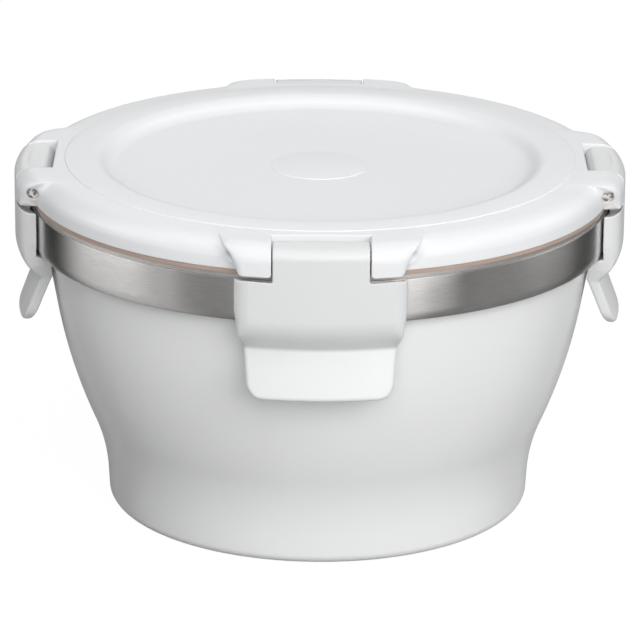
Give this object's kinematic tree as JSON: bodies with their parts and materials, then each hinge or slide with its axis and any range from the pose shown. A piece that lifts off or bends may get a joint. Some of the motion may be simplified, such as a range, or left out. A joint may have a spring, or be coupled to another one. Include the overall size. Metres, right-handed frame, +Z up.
{
  "type": "insulated bowl with lid",
  "caption": "Round vacuum-insulated steel bowl on a plain foot, closed by a plug lid whose hinged side latches hook under a steel collar.",
  "frame": {"origin": "middle of the foot on the bowl's axis, on the surface the bowl stands on", "axes": "+Z up along the bowl's axis, -Y toward the front latch, +X toward the right latch"},
  "size_m": [0.156, 0.156, 0.0912],
  "materials": {
    "painted_shell": "smooth white coating",
    "steel": "satin",
    "collar_steel": "brushed around the collar",
    "getter": "sintered",
    "lid_plastic": "satin moulded",
    "plug_plastic": "satin moulded",
    "seal": "matte silicone",
    "pin_steel": "drawn wire",
    "latch_plastic": "satin moulded"
  },
  "bodies": {
    "bowl": {"outer_shell": "painted_shell", "base_plate": "steel", "vacuum_plug": "steel", "getter": "getter", "inner_liner": "steel", "rim_collar": "collar_steel"},
    "lid": {"lid_cover": "lid_plastic", "lid_liner": "plug_plastic", "lid_seal": "seal", "pin_front": "pin_steel", "pin_right": "pin_steel", "pin_back": "pin_steel", "pin_left": "pin_steel"},
    "latch_front": {"latch_front": "latch_plastic"},
    "latch_right": {"latch_right": "latch_plastic"},
    "latch_back": {"latch_back": "latch_plastic"},
    "latch_left": {"latch_left": "latch_plastic"}
  },
  "joints": [
    {"name": "lid_lift", "type": "slide", "parent": "bowl", "child": "lid", "axis": [0, 0, 1], "range_m": [0, 0.007]},
    {"name": "front_latch_swing", "type": "hinge", "parent": "lid", "child": "latch_front", "pos_m": [0, -0.07225, 0.08675], "axis": [-1, 0, 0], "range_deg": [0, 110]},
    {"name": "right_latch_swing", "type": "hinge", "parent": "lid", "child": "latch_right", "pos_m": [0.07225, 0, 0.08675], "axis": [0, -1, 0], "range_deg": [0, 110]},
    {"name": "back_latch_swing", "type": "hinge", "parent": "lid", "child": "latch_back", "pos_m": [0, 0.07225, 0.08675], "axis": [1, 0, 0], "range_deg": [0, 110]},
    {"name": "left_latch_swing", "type": "hinge", "parent": "lid", "child": "latch_left", "pos_m": [-0.07225, 0, 0.08675], "axis": [0, 1, 0], "range_deg": [0, 110]}
  ],
  "couplings": [
    {"joint": "front_latch_swing", "follows": "lid_lift", "rad_per_m": 274.27},
    {"joint": "right_latch_swing", "follows": "lid_lift", "rad_per_m": 274.27},
    {"joint": "back_latch_swing", "follows": "lid_lift", "rad_per_m": 274.27},
    {"joint": "left_latch_swing", "follows": "lid_lift", "rad_per_m": 274.27}
  ]
}
